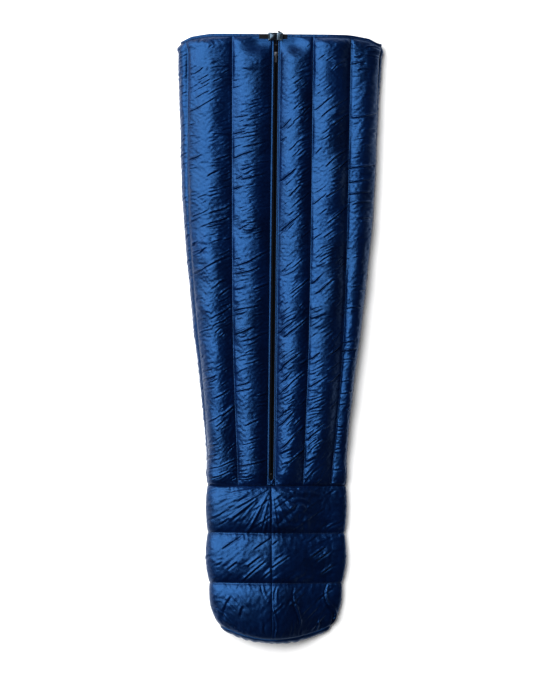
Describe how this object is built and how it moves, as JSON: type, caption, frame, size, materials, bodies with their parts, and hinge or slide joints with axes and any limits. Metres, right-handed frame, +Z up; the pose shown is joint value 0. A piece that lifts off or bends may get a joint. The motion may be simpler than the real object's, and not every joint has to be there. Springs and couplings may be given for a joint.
{
  "type": "sleeping bag",
  "caption": "Tapered hoodless sleeping bag lying flat: lengthwise down chambers, a closed quilted footbox, a centre front zipper and a small side-release buckle at the neck.",
  "frame": {"origin": "on the floor, under the middle of the bag's outline", "axes": "+X to the right of someone looking down on the zipper with the neck away from them, +Y from the foot to the open neck, +Z up"},
  "size_m": [0.6399, 1.9093, 0.1045],
  "materials": {
    "shell_nylon": "thin calendered ripstop nylon, semi-gloss with fine crinkles",
    "binding": "folded nylon hem with stitch puckers",
    "lining_nylon": "soft matte nylon",
    "down": "loose down clusters",
    "baffle_mesh": "light mesh",
    "zip_tape": "herringbone woven tape",
    "zip_coil": "polyester monofilament coil",
    "zip_metal": "black enamel, worn bright at the edges",
    "zip_pull": "black enamel",
    "webbing": "woven nylon webbing",
    "buckle_plastic": "moulded acetal, satin gloss"
  },
  "bodies": {
    "root": {"baffle_1": "baffle_mesh", "baffle_2": "baffle_mesh", "baffle_3": "baffle_mesh", "baffle_4": "baffle_mesh", "baffle_5": "baffle_mesh", "baffle_6": "baffle_mesh", "baffle_7": "baffle_mesh", "baffle_8": "baffle_mesh", "baffle_9": "baffle_mesh", "bottom_stop": "zip_metal", "buckle_female": "buckle_plastic", "fill_back_1": "down", "fill_back_2": "down", "fill_back_3": "down", "fill_back_4": "down", "fill_foot_1": "down", "fill_foot_2": "down", "fill_foot_3": "down", "fill_foot_end": "down", "fill_left_1": "down", "fill_left_2": "down", "fill_left_3": "down", "fill_right_1": "down", "fill_right_2": "down", "fill_right_3": "down", "lining_back": "lining_nylon", "lining_foot_end": "lining_nylon", "lining_footbox": "lining_nylon", "lining_left_front": "lining_nylon", "lining_right_front": "lining_nylon", "neck_binding": "binding", "ring_wall_1": "baffle_mesh", "ring_wall_2": "baffle_mesh", "ring_wall_3": "baffle_mesh", "ring_wall_4": "baffle_mesh", "shell_back": "shell_nylon", "shell_foot_end": "shell_nylon", "shell_footbox": "shell_nylon", "shell_left_front": "shell_nylon", "shell_right_front": "shell_nylon", "strap_left": "webbing", "strap_right": "webbing", "top_stop_left": "zip_metal", "top_stop_right": "zip_metal", "zip_coil_left": "zip_coil", "zip_coil_right": "zip_coil", "zip_tape_left": "zip_tape", "zip_tape_right": "zip_tape"},
    "zip_slider": {"zip_slider": "zip_metal"},
    "outer_pull": {"outer_pull": "zip_pull"},
    "inner_pull": {"inner_pull": "zip_pull"},
    "buckle_male": {"buckle_male": "buckle_plastic"}
  },
  "joints": [
    {"name": "zipper_travel", "type": "slide", "parent": "root", "child": "zip_slider", "axis": [0.0028, 1, 0], "range_m": [-1.29, 0]},
    {"name": "outer_pull_swing", "type": "hinge", "parent": "zip_slider", "child": "outer_pull", "pos_m": [-0.01267, 0.885, 0.08125], "axis": [-1, 0.0028, 0], "range_deg": [0, 165]},
    {"name": "inner_pull_swing", "type": "hinge", "parent": "zip_slider", "child": "inner_pull", "pos_m": [-0.01267, 0.885, 0.07325], "axis": [1, -0.0028, 0], "range_deg": [0, 90]},
    {"name": "buckle_release", "type": "slide", "parent": "root", "child": "buckle_male", "axis": [1, 0, 0], "range_m": [0, 0.02]}
  ]
}
